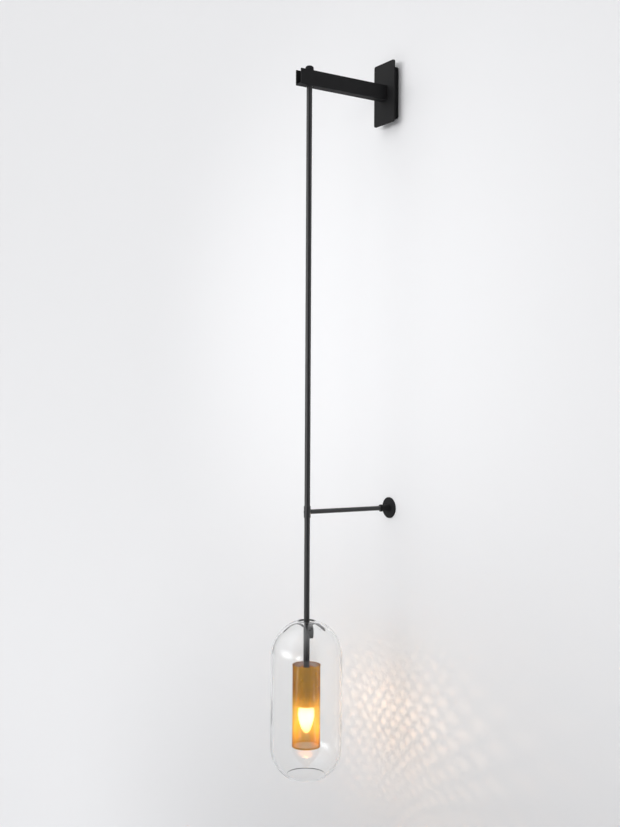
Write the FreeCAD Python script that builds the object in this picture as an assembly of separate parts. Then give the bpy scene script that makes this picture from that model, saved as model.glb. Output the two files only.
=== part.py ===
import FreeCAD, Part
import math
import os

from FreeCAD import Vector

# A wall sconce. A flat plate and an open channel arm carry a long thin rod, a strut steadies the
# rod against the wall, and a clear glass capsule hangs at the rod's lower end around a gilt mesh
# tube and a lamp.
# The wall is the plane Y = 0, the object stands out of it towards -Y and +Z is up. The origin is
# the middle of the wall bracket's back face. All sizes are in millimetres.

# Wall end
face_plate_width = 72.5
face_plate_height = 135.0
face_plate_thickness = 3.0
face_plate_corner = 5.0
canopy_width = 50.0
canopy_height = 112.0
canopy_depth = 18.0
canopy_wall = 1.5
canopy_corner = 4.0
bracket_width = 34.0
bracket_thickness = 2.0
bracket_ear = 12.0
bracket_bend = 3.0
wall_slot_spacing = 70.0
wall_slot_length = 12.0
wall_slot_width = 5.0
cable_entry_diameter = 16.0
terminal_width = 30.0
terminal_height = 16.0
terminal_depth = 9.0
terminal_rise = 18.5
terminal_ways = 3
terminal_entry = 2.5
earth_screw_drop = 24.0

# Arm
arm_height = 32.0
arm_wall = 3.0
arm_rod_gap = 2.0
arm_bend = 1.5
arm_overhang = 27.0
arm_block_depth = 12.0
arm_block_drop = 2.0
arm_screw_spread = 20.0
arm_screw_reach = 14.0
cable_passage_diameter = 7.0

# Rod and its head
rod_reach = 216.0
rod_diameter = 12.0
rod_wall = 1.2
upper_rod_length = 463.0
lower_rod_length = 795.0
rod_seam = 0.4
joiner_length = 30.0
joiner_wall = 1.3
bush_flange = 1.5
bush_wall = 0.9
knob_wall = 3.0
knob_height = 11.0
knob_dome = 5.5
knob_bore_depth = 6.5
rod_grommet_bore = 4.5
rod_grommet_rise = 3.0

# Strut and wall flange
strut_drop = 911.0
strut_diameter = 10.0
strut_wall = 1.0
sleeve_wall = 1.2
sleeve_height = 25.0
sleeve_chamfer = 0.8
sleeve_socket = 9.5
sleeve_spigot = 10.0
sleeve_screw_head = 3.6
lock_ring_wall = 2.8
lock_ring_width = 5.5
flange_diameter = 46.0
flange_thickness = 3.0
flange_edge = 0.8
boss_tip_wall = 1.0
boss_flare = 4.5
boss_length = 17.0
boss_socket = 8.0
wall_stud_bore = 5.0
wall_stud_depth = 6.0

# Glass capsule
glass_diameter = 150.0
glass_wall = 3.5
glass_straight = 192.0
glass_top_opening = 32.0
glass_bottom_opening = 86.0
glass_top_drop = 1139.0

# Leaf spider under the glass dome
leaf_count = 3
first_leaf_angle = -22.0
leaf_thickness = 1.2
leaf_glass_gap = 1.9
leaf_hump_radius = 18.0
leaf_hump_reach = 27.0
leaf_root_slope = 42.0
leaf_reach = 52.5
leaf_root_width = 9.0
leaf_middle_width = 16.0
leaf_tip_width = 10.0
spider_ring_wall = 4.0
pad_diameter = 6.0
pad_reach = 36.0
spacer_wall = 0.55

# Lampholder
cup_diameter = 30.5
cup_height = 83.0
cup_wall = 1.0
cup_shoulder = 3.0
core_side_gap = 1.25
core_height = 42.0
core_bore_depth = 26.0
contact_diameter = 5.0
contact_height = 3.0
nipple_rod_length = 12.0
nipple_wall = 1.3
holder_nut_wall = 2.2
holder_nut_height = 4.0
shade_ring_wall = 2.25
shade_ring_height = 5.0

# Mesh tube
mesh_diameter = 58.4
mesh_wall = 0.6
mesh_length = 171.5
mesh_above_cup = 4.0
mesh_columns = 12
mesh_rows = 12
mesh_bar = 2.4
mesh_plain_edge = 2.0
mesh_rim_wall = 0.5
mesh_top_rim_height = 2.0
mesh_bottom_rim_height = 3.0
carrier_thickness = 1.0
carrier_arm_width = 6.0
carrier_arms = 3
carrier_hoop = 1.2

# Lamp
lamp_cap_diameter = 13.9
lamp_cap_length = 23.0
lamp_cap_wall = 0.5
lamp_neck_step = 0.35
lamp_diameter = 35.0
lamp_belly_drop = 29.0
lamp_nose_diameter = 18.0
lamp_nose_angle = 62.0
lamp_fullness = 0.6
lamp_length = 67.5
lamp_wall = 0.8
stem_diameter = 3.0
stem_length = 34.0

# Clearances
running_fit = 0.08
close_fit = 0.05
seat_gap = 0.3
pad_glass_gap = 0.7
lamp_cup_gap = 0.91
screw_clearance = 0.2
thread_clearance = 0.05

# Screws
small_screw_diameter = 4.0
small_screw_head = 7.0
small_screw_head_height = 1.8
small_screw_length = 8.0
small_screw_slot = 1.0

# Values that follow from the sizes above
UP = Vector(0, 0, 1)
TO_WALL = Vector(0, 1, 0)
FROM_WALL = Vector(0, -1, 0)

rod_radius = rod_diameter / 2
rod_inner_radius = rod_radius - rod_wall
arm_width = rod_diameter + 2 * (arm_rod_gap + arm_wall)
knob_diameter = rod_diameter + 2 * knob_wall
sleeve_diameter = rod_diameter + 2 * sleeve_wall
lock_ring_diameter = strut_diameter + 2 * lock_ring_wall
boss_tip_diameter = strut_diameter + 2 * boss_tip_wall
boss_root_diameter = boss_tip_diameter + boss_flare
spider_ring_diameter = rod_diameter + 2 * spider_ring_wall
core_diameter = cup_diameter - 2 * (cup_wall + core_side_gap)
holder_nut_flats = 2 * (rod_inner_radius + holder_nut_wall)
shade_ring_diameter = cup_diameter + 2 * shade_ring_wall
lamp_neck_diameter = lamp_cap_diameter + 2 * lamp_neck_step
arm_top = arm_height / 2
arm_floor = arm_wall - arm_height / 2
arm_start = -(canopy_depth + face_plate_thickness)
arm_block_height = arm_top - arm_block_drop - arm_floor
arm_block_middle = arm_floor + arm_block_height / 2
rod_top = arm_top + knob_bore_depth - seat_gap
rod_joint = rod_top - upper_rod_length
rod_end = rod_joint - lower_rod_length
strut_height = -strut_drop
strut_start = sleeve_socket - rod_reach
boss_tip = -(flange_thickness + boss_length)
glass_radius = glass_diameter / 2
glass_inner_radius = glass_radius - glass_wall
dome_rise = math.sqrt(glass_radius ** 2 - (glass_top_opening / 2) ** 2)
top_dome_centre = -(glass_top_drop + dome_rise)
bottom_dome_centre = top_dome_centre - glass_straight
leaf_radius = glass_inner_radius - leaf_glass_gap
leaf_bend_angle = math.asin(leaf_hump_reach / leaf_radius)
leaf_tip_angle = math.asin(leaf_reach / leaf_radius)
cup_top = rod_end
cup_bottom = cup_top - cup_height
lamp_shoulder_radius = (lamp_neck_diameter + (lamp_diameter - lamp_neck_diameter) * lamp_fullness) / 2
lamp_shoulder_drop = lamp_belly_drop * (1 - lamp_fullness)
lamp_flank = Part.Arc(Vector(lamp_neck_diameter / 2, 0, 0),
                      Vector(lamp_shoulder_radius, lamp_shoulder_drop, 0),
                      Vector(lamp_diameter / 2, lamp_belly_drop, 0)).toShape().Curve
lamp_mouth_reach = cup_diameter / 2 - cup_wall - lamp_cup_gap - lamp_flank.Center.x
lamp_mouth_drop = lamp_flank.Center.y - math.sqrt(lamp_flank.Radius ** 2 - lamp_mouth_reach ** 2)
core_bottom = cup_bottom + lamp_mouth_drop + 2 * seat_gap
mesh_top = cup_top + mesh_above_cup
mesh_bottom = mesh_top - mesh_length
mesh_radius = mesh_diameter / 2
mesh_folds = 2 * mesh_columns
mesh_inner_apothem = mesh_radius * math.cos(math.pi / mesh_folds) - mesh_wall
carrier_floor = cup_bottom + shade_ring_height
lamp_cap_bottom = core_bottom - 2 * seat_gap
lamp_cap_top = lamp_cap_bottom + lamp_cap_length


def at_rod(radius, height):
    """A point of an outline that is turned about the rod's axis."""
    return Vector(radius, -rod_reach, height)


def line(start, end):
    return Part.LineSegment(start, end).toShape()


def arc(start, middle, end):
    return Part.Arc(start, middle, end).toShape()


def polyline(points):
    """Straight edges through the points and back to the first."""
    return [line(a, b) for a, b in zip(points, points[1:] + points[:1])]


def turned(edges):
    """The solid that a closed outline beside the rod's axis sweeps about it."""
    face = Part.Face(Part.Wire(edges))
    return face.revolve(Vector(0, -rod_reach, 0), UP, 360)


def tube(outer_radius, inner_radius, length, base, direction):
    outer = Part.makeCylinder(outer_radius, length, base, direction)
    inner = Part.makeCylinder(inner_radius, length, base, direction)
    return outer.cut(inner)


def rod_tube(outer_radius, inner_radius, bottom, top):
    """A tube on the rod's axis between two heights."""
    return tube(outer_radius, inner_radius, top - bottom, at_rod(0, bottom), UP)


def block(width, depth, height, middle):
    """A box of the given size about its middle."""
    corner = middle - Vector(width / 2, depth / 2, height / 2)
    return Part.makeBox(width, depth, height, corner)


def rounded_panel(width, height, depth, radius, back):
    """A panel square to the wall's normal, with round corners, from its back face outwards."""
    panel = block(width, depth, height, Vector(0, back - depth / 2, 0))
    corners = [edge for edge in panel.Edges if abs(edge.tangentAt(edge.FirstParameter).y) > 0.99]
    return panel.makeFillet(radius, corners)


def slotted_screw(head_seat, direction, length):
    """A slotted screw whose head seats on a point, with its shank going the given way."""
    origin = Vector(0, 0, 0)
    screw = Part.makeCylinder(small_screw_diameter / 2, length, origin, Vector(0, 0, -1))
    screw = screw.fuse(Part.makeCylinder(small_screw_head / 2, small_screw_head_height, origin, UP))
    slot_depth = small_screw_head_height / 2
    slot_middle = Vector(0, 0, small_screw_head_height - slot_depth / 2)
    screw = screw.cut(block(small_screw_head, small_screw_slot, slot_depth, slot_middle))
    screw.Placement = FreeCAD.Placement(head_seat, FreeCAD.Rotation(Vector(0, 0, -1), direction))
    return screw


def canopy_screw_places():
    """The outer face of the canopy's two ends, and the way each screw goes in."""
    half_height = canopy_height / 2
    middle = -(bracket_ear / 2 + bracket_thickness / 2)
    return [(Vector(0, middle, side * half_height), UP * -side) for side in (1, -1)]


def arm_screw_places():
    """The seats of the two screws that pull the arm's block onto the face plate."""
    seat = canopy_wall - canopy_depth
    offsets = (arm_screw_spread / 2, -arm_screw_spread / 2)
    return [Vector(0, seat, arm_block_middle + offset) for offset in offsets]


def hexagon(flats, height, base):
    """A six-sided prism that stands on the base point."""
    corner = flats / math.sqrt(3)
    points = []
    for index in range(6):
        angle = math.radians(60 * index)
        points.append(base + Vector(corner * math.cos(angle), corner * math.sin(angle), 0))
    return Part.Face(Part.Wire(polyline(points))).extrude(UP * height)


def wall_bracket():
    """A bent strip that is screwed to the wall and has an ear at each end for the canopy."""
    half_height = canopy_height / 2 - canopy_wall - seat_gap
    inner = half_height - bracket_thickness
    outline = [Vector(-bracket_width / 2, 0, half_height),
               Vector(-bracket_width / 2, -bracket_ear, half_height),
               Vector(-bracket_width / 2, -bracket_ear, inner),
               Vector(-bracket_width / 2, -bracket_thickness, inner),
               Vector(-bracket_width / 2, -bracket_thickness, -inner),
               Vector(-bracket_width / 2, -bracket_ear, -inner),
               Vector(-bracket_width / 2, -bracket_ear, -half_height),
               Vector(-bracket_width / 2, 0, -half_height)]
    strip = Part.Face(Part.Wire(polyline(outline))).extrude(Vector(bracket_width, 0, 0))
    bends = []
    for edge in strip.Edges:
        middle = edge.CenterOfMass
        if abs(middle.x) < 0.01 and abs(middle.y) < 0.01 and abs(middle.z) > inner:
            bends.append(edge)
    strip = strip.makeFillet(bracket_bend, bends)
    cable_entry = Part.makeCylinder(cable_entry_diameter / 2, bracket_thickness, Vector(0, 0, 0), FROM_WALL)
    strip = strip.cut(cable_entry)
    for side in (1, -1):
        middle = Vector(0, -bracket_thickness / 2, side * wall_slot_spacing / 2)
        straight = wall_slot_length - wall_slot_width
        slot = block(wall_slot_width, bracket_thickness, straight, middle)
        for end in (1, -1):
            base = Vector(0, 0, middle.z + end * straight / 2)
            slot = slot.fuse(Part.makeCylinder(wall_slot_width / 2, bracket_thickness, base, FROM_WALL))
        strip = strip.cut(slot)
    for seat, direction in canopy_screw_places():
        radius = small_screw_diameter / 2 + thread_clearance
        strip = strip.cut(Part.makeCylinder(radius, small_screw_length, seat, direction))
    earth_radius = small_screw_diameter / 2 + thread_clearance
    earth_seat = Vector(0, 0, -earth_screw_drop)
    strip = strip.cut(Part.makeCylinder(earth_radius, bracket_thickness, earth_seat, FROM_WALL))
    return strip


def canopy_box():
    """The shallow cover between the wall and the face plate, open towards the wall."""
    cover = rounded_panel(canopy_width, canopy_height, canopy_depth, canopy_corner, 0)
    depth = canopy_depth - canopy_wall
    hollow = block(canopy_width - 2 * canopy_wall, depth, canopy_height - 2 * canopy_wall,
                   Vector(0, -depth / 2, 0))
    cover = cover.cut(hollow)
    cover = cover.cut(front_holes(canopy_depth))
    for seat, direction in canopy_screw_places():
        radius = small_screw_diameter / 2 + screw_clearance
        cover = cover.cut(Part.makeCylinder(radius, canopy_wall * 2, seat, direction))
    return cover


def front_holes(depth):
    """Drills for the arm's screws and the cable, from the wall outwards."""
    drills = []
    for seat in arm_screw_places():
        base = Vector(seat.x, 0, seat.z)
        drills.append(Part.makeCylinder(small_screw_diameter / 2 + screw_clearance, depth, base, FROM_WALL))
    middle = Vector(0, 0, arm_block_middle)
    drills.append(Part.makeCylinder(grommet_neck_radius() + close_fit, depth, middle, FROM_WALL))
    return drills[0].multiFuse(drills[1:])


def grommet_neck_radius():
    """The cable grommet's wall is a sixth of its bore thick."""
    return cable_passage_diameter / 2 + cable_passage_diameter / 6


def face_plate():
    """The plate that shows in front of the canopy, with the arm against it."""
    plate = rounded_panel(face_plate_width, face_plate_height, face_plate_thickness,
                          face_plate_corner, -canopy_depth)
    return plate.cut(front_holes(canopy_depth + face_plate_thickness))


def canopy_screws():
    """The two screws that hold the canopy on the bracket's ears."""
    screws = [slotted_screw(seat, direction, small_screw_length) for seat, direction in canopy_screw_places()]
    return Part.makeCompound(screws)


def terminal_block():
    """The connector on the bracket, with a well over each clamp screw."""
    back = -bracket_thickness
    body = block(terminal_width, terminal_depth, terminal_height,
                 Vector(0, back - terminal_depth / 2, terminal_rise))
    pitch = terminal_width / terminal_ways
    well = pitch / 4
    for index in range(terminal_ways):
        x = (index - (terminal_ways - 1) / 2) * pitch
        for side in (1, -1):
            mouth = Vector(x, back - terminal_depth, terminal_rise + side * terminal_height / 4)
            body = body.cut(Part.makeCylinder(well, terminal_depth / 2, mouth, TO_WALL))
        entry_depth = terminal_height / 4 - well
        entry = Vector(x, back - terminal_depth / 4, terminal_rise - (terminal_height - entry_depth) / 2)
        body = body.cut(block(terminal_entry, terminal_entry, entry_depth, entry))
    return body


def earth_screw():
    """The screw that bonds the metalwork."""
    seat = Vector(0, -bracket_thickness, -earth_screw_drop)
    return slotted_screw(seat, TO_WALL, bracket_thickness)


def cable_grommet():
    """The soft ring that lines the cable's way from the canopy into the arm."""
    seat = canopy_wall - canopy_depth
    neck = grommet_neck_radius()
    collar = neck + canopy_wall
    base = Vector(0, seat, arm_block_middle)
    ring = Part.makeCylinder(neck, canopy_wall + face_plate_thickness, base, FROM_WALL)
    ring = ring.fuse(Part.makeCylinder(collar, canopy_wall, base, TO_WALL))
    length = 2 * canopy_wall + face_plate_thickness
    bore = Part.makeCylinder(cable_passage_diameter / 2, length, base + TO_WALL * canopy_wall, FROM_WALL)
    return ring.cut(bore).removeSplitter()


def arm_channel():
    """The arm: a channel with its open side up, its floor drilled for the rod."""
    length = rod_reach + arm_overhang + arm_start
    half_width = arm_width / 2
    inner = half_width - arm_wall
    outline = [Vector(-half_width, arm_start, arm_top),
               Vector(-half_width, arm_start, -arm_top),
               Vector(half_width, arm_start, -arm_top),
               Vector(half_width, arm_start, arm_top),
               Vector(inner, arm_start, arm_top),
               Vector(inner, arm_start, arm_floor),
               Vector(-inner, arm_start, arm_floor),
               Vector(-inner, arm_start, arm_top)]
    channel = Part.Face(Part.Wire(polyline(outline))).extrude(FROM_WALL * length)
    bends = []
    for edge in channel.Edges:
        middle = edge.CenterOfMass
        if abs(abs(middle.x) - half_width) < 0.01 and abs(middle.z + arm_top) < 0.01:
            bends.append(edge)
    channel = channel.makeFillet(arm_bend, bends)
    hole = rod_radius + running_fit + bush_wall + close_fit
    return channel.cut(Part.makeCylinder(hole, arm_wall, at_rod(0, -arm_top), UP))


def arm_block():
    """The block inside the arm's wall end, tapped for the two arm screws."""
    width = arm_width - 2 * arm_wall
    middle = Vector(0, arm_start - arm_block_depth / 2, arm_block_middle)
    body = block(width, arm_block_depth, arm_block_height, middle)
    base = Vector(0, arm_start, arm_block_middle)
    body = body.cut(Part.makeCylinder(cable_passage_diameter / 2, arm_block_depth, base, FROM_WALL))
    for seat in arm_screw_places():
        radius = small_screw_diameter / 2 + thread_clearance
        body = body.cut(Part.makeCylinder(radius, arm_screw_reach + close_fit, seat, FROM_WALL))
    return body


def arm_screws():
    """The two screws from inside the canopy into the arm's block."""
    screws = [slotted_screw(seat, FROM_WALL, arm_screw_reach) for seat in arm_screw_places()]
    return Part.makeCompound(screws)


def rod_bush():
    """The flanged bush that lines the hole in the arm's floor."""
    bore = rod_radius + running_fit
    neck = rod_tube(bore + bush_wall, bore, -arm_top, arm_floor)
    room = arm_width / 2 - arm_wall
    collar = rod_tube((bore + bush_wall + room) / 2, bore, arm_floor, arm_floor + bush_flange)
    return neck.fuse(collar).removeSplitter()


def top_knob():
    """The domed nut that hangs the rod on the arm's two upper edges."""
    radius = knob_diameter / 2
    bore = rod_radius + running_fit
    top = arm_top + knob_height
    ceiling = arm_top + knob_bore_depth
    shoulder = top - knob_dome
    middle_angle = math.radians(45)
    dome_middle = at_rod(radius - knob_dome + knob_dome * math.cos(middle_angle),
                         shoulder + knob_dome * math.sin(middle_angle))
    edges = [line(at_rod(0, ceiling), at_rod(bore, ceiling)),
             line(at_rod(bore, ceiling), at_rod(bore, arm_top)),
             line(at_rod(bore, arm_top), at_rod(radius, arm_top)),
             line(at_rod(radius, arm_top), at_rod(radius, shoulder)),
             arc(at_rod(radius, shoulder), dome_middle, at_rod(radius - knob_dome, top)),
             line(at_rod(radius - knob_dome, top), at_rod(0, top)),
             line(at_rod(0, top), at_rod(0, ceiling))]
    return turned(edges)


def seamed_rod(bottom, top):
    """A length of rod with a small chamfer at both outer ends."""
    edges = polyline([at_rod(rod_inner_radius, bottom),
                      at_rod(rod_radius - rod_seam, bottom),
                      at_rod(rod_radius, bottom + rod_seam),
                      at_rod(rod_radius, top - rod_seam),
                      at_rod(rod_radius - rod_seam, top),
                      at_rod(rod_inner_radius, top)])
    return turned(edges)


def upper_rod():
    """The rod's upper length, with a side hole for the cable inside the arm."""
    height = arm_floor + bush_flange + rod_grommet_bore + rod_grommet_rise
    hole = Part.makeCylinder(rod_grommet_radius() + close_fit, rod_diameter, at_rod(0, height), TO_WALL)
    return seamed_rod(rod_joint, rod_top).cut(hole)


def rod_grommet_radius():
    return rod_grommet_bore / 2 + rod_wall / 2


def rod_grommet():
    """The soft ring in the rod's side hole."""
    height = arm_floor + bush_flange + rod_grommet_bore + rod_grommet_rise
    proud = (arm_width / 2 - arm_wall - rod_radius) / 2
    start = at_rod(0, height)
    length = rod_radius + proud
    ring = tube(rod_grommet_radius(), rod_grommet_bore / 2, length, start, TO_WALL)
    core = Part.makeCylinder(rod_inner_radius, rod_diameter * 2, at_rod(0, height - rod_diameter), UP)
    return ring.cut(core)


def lower_rod():
    """The rod's lower length, down to the lampholder."""
    return seamed_rod(rod_end, rod_joint)


def rod_joiner():
    """The threaded tube inside the rod that joins its two lengths."""
    radius = rod_inner_radius - close_fit
    half = joiner_length / 2
    return rod_tube(radius, radius - joiner_wall, rod_joint - half, rod_joint + half)


def rod_sleeve():
    """The sleeve on the rod, with the socket and spigot that take the strut."""
    half = sleeve_height / 2
    radius = sleeve_diameter / 2
    bore = rod_radius + running_fit
    edges = polyline([at_rod(bore, strut_height - half),
                      at_rod(radius - sleeve_chamfer, strut_height - half),
                      at_rod(radius, strut_height - half + sleeve_chamfer),
                      at_rod(radius, strut_height + half - sleeve_chamfer),
                      at_rod(radius - sleeve_chamfer, strut_height + half),
                      at_rod(bore, strut_height + half)])
    body = turned(edges)
    centre = at_rod(0, strut_height)
    socket = Part.makeCylinder(strut_diameter / 2, sleeve_socket, centre, TO_WALL)
    spigot_radius = strut_diameter / 2 - strut_wall - close_fit
    spigot = Part.makeCylinder(spigot_radius, sleeve_socket + sleeve_spigot, centre, TO_WALL)
    body = body.fuse(socket).fuse(spigot)
    body = body.cut(Part.makeCylinder(bore, sleeve_height, at_rod(0, strut_height - half), UP))
    hole = Part.makeCylinder(sleeve_screw_radius() + thread_clearance, radius + 1, centre, FROM_WALL)
    return body.cut(hole)


def sleeve_screw_radius():
    return sleeve_screw_head / 3


def sleeve_screw():
    """The small clamp screw opposite the strut."""
    centre = at_rod(0, strut_height)
    start = rod_radius + running_fit + close_fit
    face = sleeve_diameter / 2
    shank = Part.makeCylinder(sleeve_screw_radius(), face - start, centre + FROM_WALL * start, FROM_WALL)
    head = Part.makeCylinder(sleeve_screw_head / 2, sleeve_screw_head / 6, centre + FROM_WALL * face, FROM_WALL)
    return shank.fuse(head).removeSplitter()


def strut_tube():
    """The round strut between the sleeve and the flange's boss."""
    end = boss_tip + boss_socket - close_fit
    length = end - strut_start
    start = Vector(0, strut_start, strut_height)
    return tube(strut_diameter / 2, strut_diameter / 2 - strut_wall, length, start, TO_WALL)


def lock_ring():
    """The ring nut on the strut, up against the boss."""
    face = boss_tip - seat_gap
    base = Vector(0, face, strut_height)
    ring = tube(lock_ring_diameter / 2, strut_diameter / 2 + running_fit, lock_ring_width, base, FROM_WALL)
    rims = [edge for edge in ring.Edges if edge.Curve.TypeId == "Part::GeomCircle"
            and abs(edge.Curve.Radius - lock_ring_diameter / 2) < 0.01]
    return ring.makeChamfer(lock_ring_width / 8, rims)


def flange_boss():
    """The tapered boss, with a socket for the strut and a blind hole for the wall's stud."""
    base = Vector(0, -flange_thickness, strut_height)
    body = Part.makeCone(boss_root_diameter / 2, boss_tip_diameter / 2, boss_length, base, FROM_WALL)
    mouth = Vector(0, boss_tip, strut_height)
    body = body.cut(Part.makeCylinder(strut_diameter / 2 + close_fit, boss_socket, mouth, TO_WALL))
    return body.cut(Part.makeCylinder(wall_stud_bore / 2, wall_stud_depth, base, FROM_WALL))


def flange_disc():
    """The round plate that seats on the wall behind the boss."""
    base = Vector(0, 0, strut_height)
    disc = Part.makeCylinder(flange_diameter / 2, flange_thickness, base, FROM_WALL)
    rim = [edge for edge in disc.Edges if edge.Curve.TypeId == "Part::GeomCircle"
           and edge.CenterOfMass.y < -flange_thickness / 2]
    disc = disc.makeChamfer(flange_edge, rim)
    return disc.cut(Part.makeCylinder(wall_stud_bore / 2, flange_thickness, base, FROM_WALL))


def dome_point(radius, angle, centre_height):
    """A point of a dome's outline, at an angle from straight up."""
    return at_rod(radius * math.sin(angle), centre_height + radius * math.cos(angle))


def glass_shade():
    """The clear capsule: two domes and a straight wall, open at the top and wider at the bottom."""
    top_angle = math.asin(glass_top_opening / 2 / glass_radius)
    bottom_angle = math.pi - math.asin(glass_bottom_opening / 2 / glass_radius)
    side = math.pi / 2
    upper_middle = (top_angle + side) / 2
    lower_middle = (bottom_angle + side) / 2
    lip_angle = glass_wall / 2 / glass_radius
    lip_radius = glass_radius - glass_wall / 2
    edges = [arc(dome_point(glass_radius, top_angle, top_dome_centre),
                 dome_point(glass_radius, upper_middle, top_dome_centre),
                 dome_point(glass_radius, side, top_dome_centre)),
             line(at_rod(glass_radius, top_dome_centre), at_rod(glass_radius, bottom_dome_centre)),
             arc(dome_point(glass_radius, side, bottom_dome_centre),
                 dome_point(glass_radius, lower_middle, bottom_dome_centre),
                 dome_point(glass_radius, bottom_angle, bottom_dome_centre)),
             arc(dome_point(glass_radius, bottom_angle, bottom_dome_centre),
                 dome_point(lip_radius, bottom_angle + lip_angle, bottom_dome_centre),
                 dome_point(glass_inner_radius, bottom_angle, bottom_dome_centre)),
             arc(dome_point(glass_inner_radius, bottom_angle, bottom_dome_centre),
                 dome_point(glass_inner_radius, lower_middle, bottom_dome_centre),
                 dome_point(glass_inner_radius, side, bottom_dome_centre)),
             line(at_rod(glass_inner_radius, bottom_dome_centre), at_rod(glass_inner_radius, top_dome_centre)),
             arc(dome_point(glass_inner_radius, side, top_dome_centre),
                 dome_point(glass_inner_radius, upper_middle, top_dome_centre),
                 dome_point(glass_inner_radius, top_angle, top_dome_centre)),
             line(dome_point(glass_inner_radius, top_angle, top_dome_centre),
                  dome_point(glass_radius, top_angle, top_dome_centre))]
    return turned(edges)


def hump_point(radius, angle):
    """A point on the bend that lifts a leaf from the rod to the dome."""
    offset = leaf_radius - leaf_hump_radius
    centre = dome_point(offset, leaf_bend_angle, top_dome_centre)
    return centre + Vector(radius * math.sin(angle), 0, radius * math.cos(angle))


def leaf_profile():
    """A leaf from the side: over the hump, then down along the inside of the glass."""
    root = -math.radians(leaf_root_slope)
    hump_middle = (root + leaf_bend_angle) / 2
    dome_middle = (leaf_bend_angle + leaf_tip_angle) / 2
    outer = leaf_hump_radius
    inner = leaf_hump_radius - leaf_thickness
    low = leaf_radius - leaf_thickness
    edges = [arc(hump_point(outer, root), hump_point(outer, hump_middle), hump_point(outer, leaf_bend_angle)),
             arc(dome_point(leaf_radius, leaf_bend_angle, top_dome_centre),
                 dome_point(leaf_radius, dome_middle, top_dome_centre),
                 dome_point(leaf_radius, leaf_tip_angle, top_dome_centre)),
             line(dome_point(leaf_radius, leaf_tip_angle, top_dome_centre),
                  dome_point(low, leaf_tip_angle, top_dome_centre)),
             arc(dome_point(low, leaf_tip_angle, top_dome_centre),
                 dome_point(low, dome_middle, top_dome_centre),
                 dome_point(low, leaf_bend_angle, top_dome_centre)),
             arc(hump_point(inner, leaf_bend_angle), hump_point(inner, hump_middle), hump_point(inner, root)),
             line(hump_point(inner, root), hump_point(outer, root))]
    return Part.Face(Part.Wire(edges))


def leaf_outline(bottom):
    """A leaf from above: widest at its middle, with a round tip."""
    root = spider_ring_diameter / 2 - leaf_thickness * 2
    tip = leaf_reach - leaf_tip_width / 2
    middle = (root + tip) / 2
    side = []
    for reach, width in ((root, leaf_root_width), (middle, leaf_middle_width), (tip, leaf_tip_width)):
        side.append((reach, width / 2))
    left = [Vector(reach, half - rod_reach, bottom) for reach, half in side]
    right = [Vector(reach, -half - rod_reach, bottom) for reach, half in side]
    edges = [arc(left[0], left[1], left[2]),
             arc(left[2], Vector(leaf_reach, -rod_reach, bottom), right[2]),
             arc(right[2], right[1], right[0]),
             line(right[0], left[0])]
    return Part.Face(Part.Wire(edges))


def one_leaf():
    """One curved leaf, before it is turned to its place."""
    depth = leaf_middle_width * 2
    strip = leaf_profile()
    strip.translate(Vector(0, -depth / 2, 0))
    strip = strip.extrude(Vector(0, depth, 0))
    bottom = top_dome_centre
    blank = leaf_outline(bottom).extrude(UP * glass_radius)
    return strip.common(blank)


def spider_ring_top():
    """The height of the leaves' roots at the ring."""
    return hump_point(leaf_hump_radius, -math.radians(leaf_root_slope)).z


def at_each_leaf(shape):
    """Copies of a shape turned about the rod to every leaf."""
    copies = []
    for index in range(leaf_count):
        copy = shape.copy()
        copy.rotate(Vector(0, -rod_reach, 0), UP, first_leaf_angle + index * 360 / leaf_count)
        copies.append(copy)
    return copies


def spider():
    """The sprung spider: a ring that slides on the rod and three leaves under the glass."""
    ring_top = spider_ring_top()
    bore = rod_radius + running_fit
    ring = Part.makeCylinder(spider_ring_diameter / 2, leaf_thickness, at_rod(0, ring_top - leaf_thickness), UP)
    body = ring.multiFuse(at_each_leaf(one_leaf()))
    drill = Part.makeCylinder(bore, 4 * rod_diameter, at_rod(0, ring_top - 2 * rod_diameter), UP)
    return body.cut(drill).removeSplitter()


def leaf_pads():
    """A soft button on each leaf, which the glass rests on."""
    angle = math.asin(pad_reach / leaf_radius)
    direction = Vector(math.sin(angle), 0, math.cos(angle))
    buried = leaf_radius - leaf_thickness / 2
    base = dome_point(buried, angle, top_dome_centre)
    height = math.sqrt((glass_inner_radius - pad_glass_gap) ** 2 - (pad_diameter / 2) ** 2) - buried
    pad = Part.makeCylinder(pad_diameter / 2, height, base, direction)
    pad = pad.cut(one_leaf())
    return Part.makeCompound(at_each_leaf(pad))


def spacer_sleeve():
    """The thin sleeve on the rod that stands on the lampholder and carries the spider."""
    bore = rod_radius + close_fit
    return rod_tube(bore + spacer_wall, bore, cup_top, spider_ring_top() - leaf_thickness - seat_gap)


def lampholder_cup():
    """The metal cup over the lampholder, closed at the top but for the nipple's hole."""
    radius = cup_diameter / 2
    shoulder = cup_top - cup_shoulder
    middle_angle = math.radians(45)
    inner = radius - cup_wall
    shoulder_middle = at_rod(radius - cup_shoulder + cup_shoulder * math.cos(middle_angle),
                             shoulder + cup_shoulder * math.sin(middle_angle))
    inside = polyline([at_rod(radius - cup_shoulder, cup_top - cup_wall),
                       at_rod(rod_inner_radius, cup_top - cup_wall),
                       at_rod(rod_inner_radius, cup_top),
                       at_rod(radius - cup_shoulder, cup_top)])[:3]
    outside = [arc(at_rod(radius - cup_shoulder, cup_top), shoulder_middle, at_rod(radius, shoulder)),
               line(at_rod(radius, shoulder), at_rod(radius, cup_bottom)),
               line(at_rod(radius, cup_bottom), at_rod(inner, cup_bottom)),
               line(at_rod(inner, cup_bottom), at_rod(inner, shoulder)),
               line(at_rod(inner, shoulder), at_rod(radius - cup_shoulder, cup_top - cup_wall))]
    return turned(inside + outside)


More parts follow.
